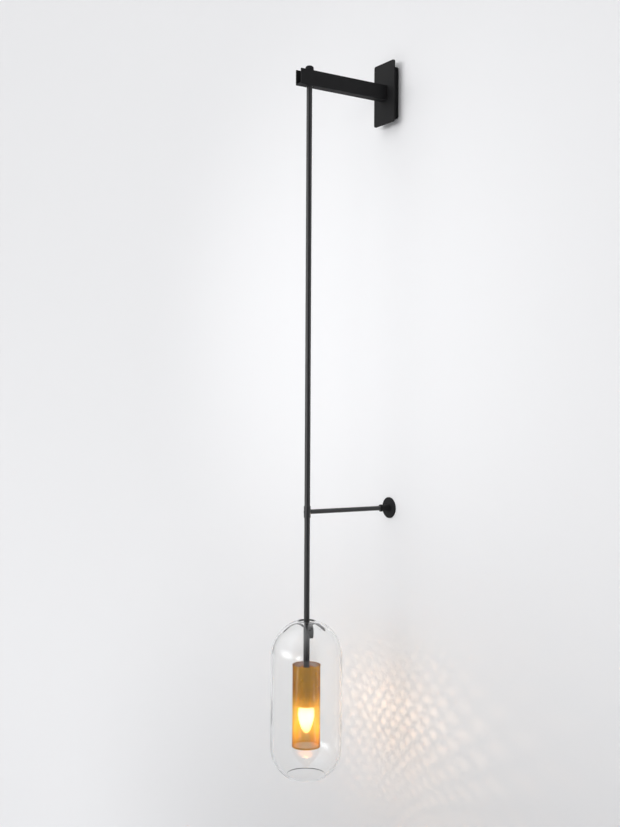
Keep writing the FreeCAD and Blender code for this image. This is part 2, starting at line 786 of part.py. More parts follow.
def lampholder_core():
    """The insulator inside the cup, bored for the lamp's cap, with a neck up to the cup's nut."""
    bore = lamp_cap_diameter / 2 + running_fit
    floor = core_bottom + core_bore_depth
    top = core_bottom + core_height
    neck_top = cup_top - cup_wall - holder_nut_height - seat_gap
    neck = rod_inner_radius + nipple_wall
    edges = polyline([at_rod(0, floor),
                      at_rod(bore, floor),
                      at_rod(bore, core_bottom),
                      at_rod(core_diameter / 2, core_bottom),
                      at_rod(core_diameter / 2, top),
                      at_rod(neck, top),
                      at_rod(neck, neck_top),
                      at_rod(0, neck_top)])
    body = turned(edges)
    seat = cup_diameter / 2 - cup_wall - close_fit
    ledge = rod_tube(seat, core_diameter / 2 - cup_wall, top - cup_shoulder, top)
    return body.fuse(ledge).removeSplitter()


def lamp_contact():
    """The centre contact at the top of the lampholder's bore."""
    floor = core_bottom + core_bore_depth
    return Part.makeCylinder(contact_diameter / 2, contact_height - 2 * seat_gap,
                             at_rod(0, floor - contact_height + 2 * seat_gap), UP)


def holder_nipple():
    """The hollow threaded nipple that joins the rod to the cup."""
    radius = rod_inner_radius - close_fit
    bottom = cup_top - cup_wall - holder_nut_height
    return rod_tube(radius, radius - nipple_wall, bottom, cup_top + nipple_rod_length)


def holder_nut():
    """The nut under the cup's top."""
    base = at_rod(0, cup_top - cup_wall - holder_nut_height)
    nut = hexagon(holder_nut_flats, holder_nut_height, base)
    return nut.cut(Part.makeCylinder(rod_inner_radius, holder_nut_height, base, UP))


def shade_ring():
    """The ring on the cup's lower end, under the mesh tube's carrier."""
    return rod_tube(shade_ring_diameter / 2, cup_diameter / 2 + close_fit, cup_bottom, carrier_floor)


def mesh_carrier():
    """A hub on the lampholder, with three arms and a hoop that holds the mesh tube."""
    top = carrier_floor + carrier_thickness
    bore = cup_diameter / 2 + close_fit
    reach = mesh_inner_apothem - close_fit
    body = rod_tube(shade_ring_diameter / 2, bore, carrier_floor, top)
    for index in range(carrier_arms):
        arm = Part.makeBox(reach, carrier_arm_width, carrier_thickness,
                           Vector(0, -rod_reach - carrier_arm_width / 2, carrier_floor))
        arm.rotate(Vector(0, -rod_reach, 0), UP, first_leaf_angle + index * 360 / carrier_arms)
        body = body.fuse(arm)
    body = body.fuse(rod_tube(reach, reach - carrier_hoop, carrier_floor, top))
    body = body.cut(Part.makeCylinder(bore, carrier_thickness, at_rod(0, carrier_floor), UP))
    limit = Part.makeCylinder(reach, carrier_thickness, at_rod(0, carrier_floor), UP)
    return body.common(limit).removeSplitter()


def mesh_blank(apothem):
    """An upright prism, whose folds are the centre lines of the columns of diamonds."""
    radius = apothem / math.cos(math.pi / mesh_folds)
    points = []
    for fold in range(mesh_folds):
        angle = 2 * math.pi * fold / mesh_folds
        points.append(at_rod(radius * math.cos(angle), mesh_bottom) + Vector(0, radius * math.sin(angle), 0))
    return Part.Face(Part.Wire(polyline(points))).extrude(UP * mesh_length)


def mesh_diamond(half_width, half_height):
    """An upright diamond prism through one side of the mesh tube's wall."""
    points = [Vector(0, half_width, 0), Vector(0, 0, half_height),
              Vector(0, -half_width, 0), Vector(0, 0, -half_height)]
    depth = 4 * mesh_wall
    prism = Part.Face(Part.Wire(polyline(points))).extrude(Vector(2 * depth, 0, 0))
    prism.translate(at_rod(mesh_radius - depth, 0))
    return prism


def mesh_tube():
    """The gilt tube around the lamp, pierced with staggered diamonds that leave slanted bars."""
    width = 2 * mesh_radius * math.sin(math.pi / mesh_folds)
    height = (mesh_length - 2 * mesh_plain_edge) / (mesh_rows + 1)
    share = 1 - mesh_bar / 2 * math.hypot(width, height) / (width * height)
    diamond = mesh_diamond(width * share, height * share)
    diamonds = []
    for row in range(mesh_rows):
        for column in range(mesh_columns):
            copy = diamond.copy()
            copy.rotate(at_rod(0, 0), UP, (column + row % 2 / 2) * 360 / mesh_columns)
            copy.translate(UP * (mesh_bottom + mesh_plain_edge + (row + 1) * height))
            diamonds.append(copy)
    wall = mesh_blank(mesh_inner_apothem + mesh_wall).cut(mesh_blank(mesh_inner_apothem))
    return wall.cut(Part.makeCompound(diamonds))


def mesh_top_rim():
    """The thin band on the mesh tube's upper edge."""
    inner = mesh_radius + close_fit
    return rod_tube(inner + mesh_rim_wall, inner, mesh_top - mesh_top_rim_height, mesh_top)


def mesh_bottom_rim():
    """The wider band on the mesh tube's lower edge."""
    inner = mesh_radius + close_fit
    return rod_tube(inner + mesh_rim_wall, inner, mesh_bottom, mesh_bottom + mesh_bottom_rim_height)


def lamp_outline(inset):
    """Half of the lamp's blunt candle shape, from its neck to its nose, drawn in by a wall."""
    neck = lamp_neck_diameter / 2 - inset
    belly = lamp_diameter / 2 - inset
    nose = lamp_nose_diameter / 2 - inset
    top = lamp_cap_bottom
    belly_height = top - lamp_belly_drop
    nose_centre = top - lamp_length + lamp_nose_diameter / 2
    join = math.radians(lamp_nose_angle)
    nose_edge = at_rod(nose * math.sin(join), nose_centre - nose * math.cos(join))
    nose_middle = at_rod(nose * math.sin(join / 2), nose_centre - nose * math.cos(join / 2))
    shoulder = at_rod(lamp_shoulder_radius - inset, top - lamp_shoulder_drop)
    flank = at_rod(nose_edge.x + (belly - nose_edge.x) * lamp_fullness, (belly_height + nose_edge.z) / 2)
    return [line(at_rod(0, top), at_rod(neck, top)),
            arc(at_rod(neck, top), shoulder, at_rod(belly, belly_height)),
            arc(at_rod(belly, belly_height), flank, nose_edge),
            arc(nose_edge, nose_middle, at_rod(0, nose_centre - nose)),
            line(at_rod(0, nose_centre - nose), at_rod(0, top))]


def lamp_glass():
    """The lamp's hollow envelope, open where the cap closes it."""
    return turned(lamp_outline(0)).cut(turned(lamp_outline(lamp_wall)))


def lamp_cap():
    """The lamp's screw cap, with its centre button."""
    radius = lamp_cap_diameter / 2
    taper = radius * 0.55
    button_top = lamp_cap_top + 2 * lamp_cap_wall
    edges = polyline([at_rod(0, lamp_cap_bottom),
                      at_rod(radius, lamp_cap_bottom),
                      at_rod(radius, lamp_cap_top - taper),
                      at_rod(contact_diameter / 2, lamp_cap_top),
                      at_rod(contact_diameter / 2 - lamp_cap_wall, button_top),
                      at_rod(0, button_top)])
    return turned(edges)


def lamp_stem():
    """The rod inside the lamp that carries the light source."""
    return Part.makeCylinder(stem_diameter / 2, stem_length, at_rod(0, lamp_cap_bottom - stem_length), UP)


PARTS = [wall_bracket, canopy_box, face_plate, canopy_screws, terminal_block, earth_screw, cable_grommet,
         arm_channel, arm_block, arm_screws, rod_bush, top_knob, upper_rod, rod_grommet, lower_rod,
         rod_joiner, rod_sleeve, sleeve_screw, strut_tube, lock_ring, flange_boss, flange_disc,
         glass_shade, spider, leaf_pads, spacer_sleeve, lampholder_cup, lampholder_core, lamp_contact,
         holder_nipple, holder_nut, shade_ring, mesh_carrier, mesh_tube, mesh_top_rim, mesh_bottom_rim,
         lamp_glass, lamp_cap, lamp_stem]

os.makedirs("parts", exist_ok=True)
for make in PARTS:
    shape = make()
    shape.exportStep("parts/" + make.__name__ + ".step")
    print(make.__name__, len(shape.Solids), shape.isValid(), round(shape.Volume, 1))
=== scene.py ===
import math

import bmesh
import bpy
from mathutils import Matrix, Vector


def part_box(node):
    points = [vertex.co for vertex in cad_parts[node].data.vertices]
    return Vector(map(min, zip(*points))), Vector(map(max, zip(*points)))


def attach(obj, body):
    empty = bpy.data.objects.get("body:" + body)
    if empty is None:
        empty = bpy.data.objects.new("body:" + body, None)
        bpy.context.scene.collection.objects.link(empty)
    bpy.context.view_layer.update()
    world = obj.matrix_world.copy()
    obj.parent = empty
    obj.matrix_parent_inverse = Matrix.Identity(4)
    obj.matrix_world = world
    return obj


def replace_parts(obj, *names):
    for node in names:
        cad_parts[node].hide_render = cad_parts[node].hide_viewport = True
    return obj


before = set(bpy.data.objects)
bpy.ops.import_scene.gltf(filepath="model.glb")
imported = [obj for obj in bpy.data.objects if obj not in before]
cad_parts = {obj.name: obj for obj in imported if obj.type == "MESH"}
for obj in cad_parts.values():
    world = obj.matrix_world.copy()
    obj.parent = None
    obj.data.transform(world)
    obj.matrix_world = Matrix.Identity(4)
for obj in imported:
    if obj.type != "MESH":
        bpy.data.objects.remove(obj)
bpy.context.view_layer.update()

bl_info = {
    "name": "Capsule Wall Light",
    "version": (1, 0, 0),
    "blender": (4, 5, 0),
    "location": "3D View > Sidebar > Wall Light",
    "description": "Finishes, glass, pierced tube, lit lamp and studio for a hanging wall light",
    "category": "Object",
}

# The wall is the plane Y = 0, the light stands out of it towards -Y and +Z is up. Sizes are in metres.
# The point of the rod's axis at height 0
ROD_AXIS = Vector((0, (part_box("lower_rod")[0].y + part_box("lower_rod")[1].y) / 2, 0))
BLACK_COATED = ("canopy_box", "face_plate", "arm_channel", "arm_block", "top_knob", "lock_ring", "flange_boss",
                "flange_disc")
SATIN_TUBES = ("upper_rod", "lower_rod", "rod_sleeve", "strut_tube", "spacer_sleeve")
BLACK_SCREWS = ("canopy_screws", "sleeve_screw")
ZINC_PLATED = ("wall_bracket", "earth_screw", "arm_screws", "rod_joiner", "holder_nipple", "holder_nut")
GILT = ("lampholder_cup", "shade_ring", "mesh_carrier", "mesh_top_rim", "mesh_bottom_rim")
DARK_MOULDED = ("rod_bush", "lampholder_core")
SOFT_RUBBER = ("cable_grommet", "rod_grommet", "leaf_pads")
NICKEL_PLATED = ("lamp_contact", "lamp_cap")

# The finishes that are not settings: a colour and a roughness and, for a moulding, the width of its grain
SCREW_FINISH = ((0.016, 0.016, 0.018), 0.36)
SPRING_FINISH = ((0.004, 0.004, 0.0045), 0.42)
ZINC_FINISH = ((0.60, 0.60, 0.62), 0.34)
NICKEL_FINISH = ((0.72, 0.70, 0.68), 0.22)
PALE_PLASTIC = ((0.74, 0.73, 0.69), 0.45, 0.0008)
DARK_PLASTIC = ((0.03, 0.03, 0.03), 0.42, 0.0008)
RUBBER_FINISH = ((0.035, 0.035, 0.035), 0.7, 0.0012)
GILT_ROUGHNESS = 0.20
MATT_GLOSS = 0.26
SATIN_GLOSS = 0.60

# How a kind of finish varies: its second colour against its first, and how far its roughness goes down and up
COAT_MOTTLE = (1.45, 0.04, 0.05)
STEEL_MOTTLE = (2.2, 0.05, 0.08)
PLATED_MOTTLE = (0.78, 0.05, 0.09)
MOULDED_MOTTLE = (0.8, 0.06, 0.06)
STEEL_GRAIN = 0.0009
STEEL_DEPTH = 0.000015
STEEL_METAL = 0.35
POLISH_PITCH = 0.0005
# How much the noise of the polished lines is drawn out along X, Y and Z
LINE_STRETCH = (0.06, 0.06, 1.0)
FINE_DEPTH = 0.00002
# What the noise of each texture has to the metre, and how wide the beads are to the ripples under them
PATCHES_PER_METRE = 22.0
TONES_PER_METRE = 60.0
SPECKS_PER_METRE = 900.0
BEADS_TO_RIPPLES = 0.22
# The share of the height that is beads; the rest is ripples
BEAD_SHARE = 0.6
DUST_AMOUNT = 0.10
DUST_COLOUR = (0.20, 0.20, 0.20)
WHITE = (1.0, 1.0, 1.0)
BLACK = (0.0, 0.0, 0.0)

# The glass: its refraction, and how often and how deep it waves
GLASS_INDEX = 1.48
GLASS_WAVES = 16.0
GLASS_WAVE_DEPTH = 0.0006
DOME_STEPS = 30
LIP_STEPS = 6

# The sockets of a mix node that deal in numbers and those that deal in colours
MIX_SHARE, MIX_NUMBERS, MIX_COLOURS = 0, (2, 3), (6, 7)
MIXED_NUMBER, MIXED_COLOUR = 0, 2

# The share of the lamp's length above and below its middle that is whitest
LAMP_CORE = 0.12
# The two lights in the lamp: a small one that throws the net's pattern on the wall, and a wide one for haze
PATTERN_LIGHT_SIZE = 0.0012
HAZE_LIGHT_SIZE = 0.012
# How much further the painted glow on the net reaches across the rod than along it
HALO_ACROSS = 10

# The stage: how far the wall and the floor reach, and how high the wall goes
STAGE_REACH = 9.0
STAGE_TOP = 3.0
# Painted light and shade on the wall and floor, a lighter pool and a darker patch: each one's middle, its reach
# along each axis, and its colour against the paint's
PAINTED_LIGHT_AND_SHADE = (((-0.2, 0.0, -0.45), (1.2, 20.0, 1.0), 1.16), ((0.55, 0.0, -2.1), (2.8, 20.0, 1.5), 0.68))
# The room's own light, from a view that points down to one that points up, and how pale the room looks
ROOM_LEVELS = (-0.4, 0.6)
ROOM_LIGHT = (0.01, 0.12)
ROOM_PALE = 0.88
# The camera's sensor in millimetres, and how far it sees
SENSOR_WIDTH = 36.0
VIEW_DEPTH = 60.0
# Each soft lamp: its azimuth and height in degrees, its width all round and its depth up and down, both as
# shares of a unit sphere, and its strength. A depth of 9 leaves the lamp round.
STUDIO_LAMPS = ((-100.0, 4.0, 0.27, 0.13, 5.0), (-58.0, 1.0, 0.11, 0.11, 5.5), (-145.0, 15.0, 0.38, 9.0, 0.6),
                (-90.0, 80.0, 0.50, 9.0, 0.7), (-95.0, 42.0, 0.40, 9.0, 1.35))


# Settings that a user would change

class CoatSettings(bpy.types.PropertyGroup):
    """The black powder coat."""
    colour: bpy.props.FloatVectorProperty(
        name="Colour", description="Colour of the black coat", subtype="COLOR", size=3, min=0, max=1,
        default=(0.007, 0.007, 0.0078))
    matt_roughness: bpy.props.FloatProperty(
        name="Matt roughness", description="How matt the plate, arm and flange are", min=0, max=1, default=0.72)
    satin_roughness: bpy.props.FloatProperty(
        name="Satin roughness", description="How matt the tubes are", min=0, max=1, default=0.32)
    grain: bpy.props.FloatProperty(
        name="Grain", description="Width of one bead of the coat", unit="LENGTH", min=0.0001, default=0.0006)
    depth: bpy.props.FloatProperty(
        name="Depth", description="Height of the coat's texture", unit="LENGTH", min=0, default=0.00002)


class GlassSettings(bpy.types.PropertyGroup):
    """The clear capsule."""
    wall: bpy.props.FloatProperty(
        name="Wall", description="Thickness of the glass", unit="LENGTH", min=0.0005, default=0.0035)
    top_opening: bpy.props.FloatProperty(
        name="Top opening", description="Width of the hole for the rod", unit="LENGTH", default=0.032)
    bottom_opening: bpy.props.FloatProperty(
        name="Bottom opening", description="Width of the mouth", unit="LENGTH", default=0.086)
    sides: bpy.props.IntProperty(
        name="Sides", description="Steps round the capsule", min=24, default=128)
    tint: bpy.props.FloatVectorProperty(
        name="Tint", description="Colour of the clear glass", subtype="COLOR", size=3, min=0, max=1,
        default=(0.985, 0.99, 0.99))


class MeshSettings(bpy.types.PropertyGroup):
    """The pierced tube round the lamp."""
    columns: bpy.props.IntProperty(
        name="Columns", description="Diamonds round the tube", min=6, default=40)
    rows: bpy.props.IntProperty(
        name="Rows", description="Staggered rows of diamonds along the tube", min=4, default=67)
    bar: bpy.props.FloatProperty(
        name="Bar", description="Width of the metal between two diamonds", unit="LENGTH", default=0.00155)
    wall: bpy.props.FloatProperty(
        name="Wall", description="Thickness of the pierced sheet", unit="LENGTH", default=0.0006)
    colour: bpy.props.FloatVectorProperty(
        name="Colour", description="Colour of the gilt metal", subtype="COLOR", size=3, min=0, max=1,
        default=(0.63, 0.31, 0.004))
    edge_colour: bpy.props.FloatVectorProperty(
        name="Edge colour", description="Colour of the gilt seen at a slant", subtype="COLOR", size=3, min=0,
        max=1, default=(0.60, 0.30, 0.03))


class LampSettings(bpy.types.PropertyGroup):
    """The lit lamp."""
    core_colour: bpy.props.FloatVectorProperty(
        name="Core", description="Colour of the lit lamp at its middle", subtype="COLOR", size=3, min=0, max=1,
        default=(1.0, 0.90, 0.62))
    edge_colour: bpy.props.FloatVectorProperty(
        name="Edge", description="Colour of the lit lamp at its ends", subtype="COLOR", size=3, min=0, max=1,
        default=(1.0, 0.52, 0.14))
    glow: bpy.props.FloatProperty(
        name="Glow", description="Brightness of the lamp's envelope", min=0, default=6.0)
    power: bpy.props.FloatProperty(
        name="Power", description="Light that the lamp throws on the wall", unit="POWER", min=0, default=2.9)
    haze: bpy.props.FloatProperty(
        name="Haze", description="Light without a pattern, as a share of the power", min=0, default=0.22)
    light_colour: bpy.props.FloatVectorProperty(
        name="Light", description="Colour of the light that the lamp throws", subtype="COLOR", size=3, min=0,
        max=1, default=(1.0, 0.68, 0.44))
    halo_colour: bpy.props.FloatVectorProperty(
        name="Halo", description="Colour of the warm glow on the net round the lamp", subtype="COLOR", size=3,
        min=0, max=1, default=(0.95, 0.74, 0.12))
    halo: bpy.props.FloatProperty(
        name="Halo strength", description="Brightness of the glow on the net", min=0, default=0.46)
    halo_reach: bpy.props.FloatProperty(
        name="Halo reach", description="How far the glow spreads from the lamp's middle", unit="LENGTH",
        default=0.062)


class StageSettings(bpy.types.PropertyGroup):
    """The wall, the floor, the lights and the camera."""
    wall_colour: bpy.props.FloatVectorProperty(
        name="Wall", description="Colour of the wall", subtype="COLOR", size=3, min=0, max=1,
        default=(0.785, 0.787, 0.799))
    floor_colour: bpy.props.FloatVectorProperty(
        name="Floor", description="Colour of the floor", subtype="COLOR", size=3, min=0, max=1,
        default=(0.70, 0.70, 0.71))
    floor_height: bpy.props.FloatProperty(
        name="Floor height", description="Height of the floor", unit="LENGTH", default=-2.62)
    camera_place: bpy.props.FloatVectorProperty(
        name="Camera", description="Where the camera stands", subtype="TRANSLATION", size=3,
        default=(1.9454, -1.4689, -0.7040))
    camera_turn: bpy.props.FloatProperty(
        name="Turn", description="Turn of the view from the wall's normal", subtype="ANGLE",
        default=math.radians(57.10))
    camera_roll: bpy.props.FloatProperty(
        name="Roll", description="Lean of the camera", subtype="ANGLE", default=math.radians(0.30))
    focal_pixels: bpy.props.FloatProperty(
        name="Focal length", description="Focal length in pixels of the frame's long side", default=1100.0)
    long_side: bpy.props.FloatProperty(
        name="Long side", description="Pixels along the frame's long side", default=827.0)


SETTINGS = {
    "wall_light_coat": CoatSettings,
    "wall_light_glass": GlassSettings,
    "wall_light_mesh": MeshSettings,
    "wall_light_lamp": LampSettings,
    "wall_light_stage": StageSettings,
}


# Node trees

class Nodes:
    """A node tree, with short ways to add and join nodes."""

    def __init__(self, tree):
        self.tree = tree

    def add(self, kind, feeds=(), **values):
        """A new node with its settings, and with what goes into its sockets."""
        node = self.tree.nodes.new(kind)
        for name, value in values.items():
            setattr(node, name, value)
        for socket, value in dict(feeds).items():
            self.feed(value, node.inputs[socket])
        return node

    def join(self, start, end):
        self.tree.links.new(start, end)

    def feed(self, value, socket):
        """Joins another socket to this one, or sets its value."""
        if isinstance(value, bpy.types.NodeSocket):
            self.join(value, socket)
        else:
            socket.default_value = value

    def math(self, operation, first, second=0.0, third=0.0):
        return self.add("ShaderNodeMath", {0: first, 1: second, 2: third}, operation=operation).outputs[0]

    def vector_math(self, operation, first, second=(0.0, 0.0, 0.0)):
        return self.add("ShaderNodeVectorMath", {0: first, 1: second}, operation=operation).outputs


# Materials

class Shader(Nodes):
    """The node tree of a material, a world or a shader group."""

    def noise(self, vector, scale, detail=2.0, roughness=0.5):
        return self.add("ShaderNodeTexNoise", {"Vector": vector, "Scale": scale, "Detail": detail,
                                               "Roughness": roughness}).outputs["Fac"]

    def spread(self, value, low, high, start=0.0, end=1.0):
        """The value's range from low to high, mapped to start to end."""
        return self.add("ShaderNodeMapRange", {"Value": value, "From Min": low, "From Max": high,
                                               "To Min": start, "To Max": end}).outputs["Result"]

    def blend(self, share, first, second):
        """The first colour where the share is 0, and the second where it is 1."""
        node = self.add("ShaderNodeMix", {MIX_SHARE: share}, data_type="RGBA", blend_type="MIX")
        for index, colour in zip(MIX_COLOURS, (first, second)):
            self.feed(colour if isinstance(colour, bpy.types.NodeSocket) else (*colour, 1.0), node.inputs[index])
        return node.outputs[MIXED_COLOUR]

    def place(self):
        return self.add("ShaderNodeTexCoord").outputs["Object"]

    def part(self, vector, axis):
        return self.add("ShaderNodeSeparateXYZ", {0: vector}).outputs[axis]

    def stretched(self, vector, scale):
        return self.add("ShaderNodeMapping", {"Vector": vector, "Scale": scale}).outputs["Vector"]

    def bump(self, height, distance):
        return self.add("ShaderNodeBump", {"Height": height, "Distance": distance,
                                           "Strength": 1.0}).outputs["Normal"]

    def group(self, tree, **values):
        return self.add("ShaderNodeGroup", values, node_tree=tree)

    def soft_spot(self, centre, reach):
        """A mask that fades smoothly from a centre to the edge of an oval."""
        offset = self.vector_math("SUBTRACT", self.place(), centre)["Vector"]
        share = self.vector_math("DIVIDE", offset, reach)["Vector"]
        length = self.vector_math("LENGTH", share)["Value"]
        return self.add("ShaderNodeMapRange", {"Value": length, "To Min": 1.0, "To Max": 0.0},
                        interpolation_type="SMOOTHERSTEP").outputs["Result"]

    def mottle(self, surface, mask, colour, roughness, variation):
        """Lets a mask vary the roughness, and gives the colour that it varies likewise."""
        second, down, up = variation
        self.join(self.spread(mask, 0.0, 1.0, roughness - down, roughness + up), surface.inputs["Roughness"])
        return self.blend(mask, colour, tuple(second * part for part in colour))


def new_material(name):
    """A material with one Principled shader, and its helper."""
    material = bpy.data.materials.new(name)
    material.use_nodes = True
    shader = Shader(material.node_tree)
    surface = material.node_tree.nodes["Principled BSDF"]
    return material, shader, surface


def new_group(name, inputs, outputs):
    """An empty shader node group with its sockets, its helper and its two end nodes."""
    tree = bpy.data.node_groups.new(name, "ShaderNodeTree")
    for socket_name, kind, default in inputs:
        socket = tree.interface.new_socket(name=socket_name, in_out="INPUT", socket_type=kind)
        socket.default_value = default
    for socket_name, kind in outputs:
        tree.interface.new_socket(name=socket_name, in_out="OUTPUT", socket_type=kind)
    shader = Shader(tree)
    return tree, shader, shader.add("NodeGroupInput"), shader.add("NodeGroupOutput")


def bead_group():
    """The fine beaded texture of a powder coat or a moulding: a height, and a patchy mask."""
    if "Beaded Finish" in bpy.data.node_groups:
        return bpy.data.node_groups["Beaded Finish"]
    tree, shader, start, end = new_group(
        "Beaded Finish",
        [("Size", "NodeSocketFloat", 0.0006)],
        [("Height", "NodeSocketFloat"), ("Patches", "NodeSocketFloat")])
    place = shader.place()
    density = shader.math("DIVIDE", 1.0, start.outputs["Size"])
    beads = shader.noise(place, density, detail=1.0)
    ripples = shader.noise(place, shader.math("MULTIPLY", density, BEADS_TO_RIPPLES), detail=1.0)
    height = shader.math("ADD", shader.math("MULTIPLY", beads, BEAD_SHARE),
                         shader.math("MULTIPLY", ripples, 1 - BEAD_SHARE))
    shader.join(height, end.inputs["Height"])
    patches = shader.noise(place, PATCHES_PER_METRE, detail=4.0, roughness=0.6)
    shader.join(shader.spread(patches, 0.35, 0.68), end.inputs["Patches"])
    return tree


def dust_group():
    """Dust that settles on what faces up, as a mask."""
    if "Settled Dust" in bpy.data.node_groups:
        return bpy.data.node_groups["Settled Dust"]
    tree, shader, start, end = new_group(
        "Settled Dust", [("Amount", "NodeSocketFloat", 0.2)], [("Dust", "NodeSocketFloat")])
    normal = shader.add("ShaderNodeNewGeometry").outputs["Normal"]
    up = shader.spread(shader.part(normal, "Z"), 0.35, 1.0)
    specks = shader.noise(shader.place(), SPECKS_PER_METRE, detail=3.0, roughness=0.7)
    mask = shader.math("MULTIPLY", up, shader.spread(specks, 0.45, 0.75))
    mask = shader.math("MULTIPLY", mask, start.outputs["Amount"])
    shader.join(mask, end.inputs["Dust"])
    return tree


def brushed_group():
    """Fine lines turned round the rod's axis, as left by spinning or polishing: a height and a mask."""
    if "Turned Lines" in bpy.data.node_groups:
        return bpy.data.node_groups["Turned Lines"]
    tree, shader, start, end = new_group(
        "Turned Lines", [("Pitch", "NodeSocketFloat", 0.0004)],
        [("Height", "NodeSocketFloat"), ("Tone", "NodeSocketFloat")])
    lines = shader.stretched(shader.place(), LINE_STRETCH)
    density = shader.math("DIVIDE", 1.0, start.outputs["Pitch"])
    height = shader.noise(lines, density, detail=3.0, roughness=0.65)
    shader.join(height, end.inputs["Height"])
    tone = shader.noise(shader.place(), TONES_PER_METRE, detail=3.0, roughness=0.6)
    shader.join(shader.spread(tone, 0.35, 0.7), end.inputs["Tone"])
    return tree


def black_coat(settings, name, roughness, gloss):
    """Black powder coat, a little lighter where it is thin."""
    material, shader, surface = new_material(name)
    beads = shader.group(bead_group(), Size=settings.grain)
    dust = shader.group(dust_group(), Amount=DUST_AMOUNT)
    coat = shader.mottle(surface, beads.outputs["Patches"], tuple(settings.colour), roughness, COAT_MOTTLE)
    shader.join(shader.blend(dust.outputs["Dust"], coat, DUST_COLOUR), surface.inputs["Base Color"])
    surface.inputs["Specular IOR Level"].default_value = gloss
    shader.join(shader.bump(beads.outputs["Height"], settings.depth), surface.inputs["Normal"])
    return material


def black_steel(name, colour, roughness):
    """Blackened steel: a dark metal with an uneven oxide."""
    material, shader, surface = new_material(name)
    beads = shader.group(bead_group(), Size=STEEL_GRAIN)
    oxide = shader.mottle(surface, beads.outputs["Patches"], colour, roughness, STEEL_MOTTLE)
    shader.join(oxide, surface.inputs["Base Color"])
    surface.inputs["Metallic"].default_value = STEEL_METAL
    shader.join(shader.bump(beads.outputs["Height"], STEEL_DEPTH), surface.inputs["Normal"])
    return material


def plated(name, colour, roughness, edge=WHITE):
    """Plated metal with a soft mottle and faint polishing lines."""
    material, shader, surface = new_material(name)
    lines = shader.group(brushed_group(), Pitch=POLISH_PITCH)
    metal = shader.mottle(surface, lines.outputs["Tone"], colour, roughness, PLATED_MOTTLE)
    shader.join(metal, surface.inputs["Base Color"])
    surface.inputs["Metallic"].default_value = 1.0
    surface.inputs["Specular Tint"].default_value = (*edge, 1.0)
    shader.join(shader.bump(lines.outputs["Height"], FINE_DEPTH), surface.inputs["Normal"])
    return material


def moulded(name, colour, roughness, grain):
    """Moulded plastic or rubber, with a spark-eroded grain."""
    material, shader, surface = new_material(name)
    beads = shader.group(bead_group(), Size=grain)
    skin = shader.mottle(surface, beads.outputs["Patches"], colour, roughness, MOULDED_MOTTLE)
    shader.join(skin, surface.inputs["Base Color"])
    shader.join(shader.bump(beads.outputs["Height"], FINE_DEPTH), surface.inputs["Normal"])
    return material


def clear_glass(settings):
    """Clear blown glass, with a slow waviness."""
    material, shader, surface = new_material("clear_glass")
    surface.inputs["Base Color"].default_value = (*settings.tint, 1.0)
    surface.inputs["Transmission Weight"].default_value = 1.0
    surface.inputs["Roughness"].default_value = 0.0
    surface.inputs["IOR"].default_value = GLASS_INDEX
    waves = shader.noise(shader.place(), GLASS_WAVES, detail=1.0)
    shader.join(shader.bump(waves, GLASS_WAVE_DEPTH), surface.inputs["Normal"])
    return material


def lit_envelope(settings, low, high):
    """The lit lamp: whitest at its middle, warmer towards its two ends."""
    material, shader, surface = new_material("lamp_envelope")
    along = shader.spread(shader.part(shader.place(), "Z"), low, high)
    from_middle = shader.math("ABSOLUTE", shader.math("SUBTRACT", along, 0.5))
    share = shader.spread(from_middle, LAMP_CORE, 0.5)
    colour = shader.blend(share, tuple(settings.core_colour), tuple(settings.edge_colour))
    shader.join(colour, surface.inputs["Emission Color"])
    surface.inputs["Emission Strength"].default_value = settings.glow
    surface.inputs["Base Color"].default_value = (0.9, 0.8, 0.62, 1.0)
    surface.inputs["Roughness"].default_value = 0.3
    return material


def painted_lamp_glow(material, settings):
    """Painted glow of the lamp on what stands round it, as emission in its material, fading along the rod and
    hardly across it.
    """
    shader = Shader(material.node_tree)
    surface = material.node_tree.nodes["Principled BSDF"]
    low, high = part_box("lamp_glass")
    along = settings.halo_reach
    across = HALO_ACROSS * along
    share = shader.soft_spot(tuple((low + high) / 2), (across, across, along))
    glow = shader.blend(share, BLACK, tuple(settings.halo_colour))
    shader.join(glow, surface.inputs["Emission Color"])
    surface.inputs["Emission Strength"].default_value = settings.halo


def give(nodes, material):
    """Puts a material on CAD nodes through their own slots."""
    for name in nodes:
        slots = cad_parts[name].material_slots
        if slots:
            for slot in slots:
                slot.material = material
        else:
            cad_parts[name].data.materials.append(material)


# Meshes

def new_piece(name, mesh, body, material):
    """A finished piece that rides on a CAD body."""
    mesh.name = name
    piece = bpy.data.objects.new(name, mesh)
    bpy.context.scene.collection.objects.link(piece)
    mesh.materials.clear()
    mesh.materials.append(material)
    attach(piece, body)
    return piece


def arc_points(centre, radius, start, end, steps):
    """Points of an arc beside the rod's axis, as (distance from the axis, height)."""
    points = []
    for step in range(steps + 1):
        angle = start + (end - start) * step / steps
        points.append((centre[0] + radius * math.sin(angle), centre[1] + radius * math.cos(angle)))
    return points


def lathe(outline, sides):
    """The closed ring that an outline of (distance, height) sweeps about the rod's axis."""
    build = bmesh.new()
    rings = []
    for distance, height in outline:
        ring = []
        for side in range(sides):
            angle = 2 * math.pi * side / sides
            around = Vector((distance * math.cos(angle), distance * math.sin(angle), height))
            ring.append(build.verts.new(ROD_AXIS + around))
        rings.append(ring)
    for ring, following in zip(rings, rings[1:] + rings[:1]):
        for side in range(sides):
            after = (side + 1) % sides
            build.faces.new((ring[side], ring[after], following[after], following[side]))
    bmesh.ops.recalc_face_normals(build, faces=build.faces)
    for face in build.faces:
        face.smooth = True
    mesh = bpy.data.meshes.new("lathe")
    build.to_mesh(mesh)
    build.free()
    return mesh


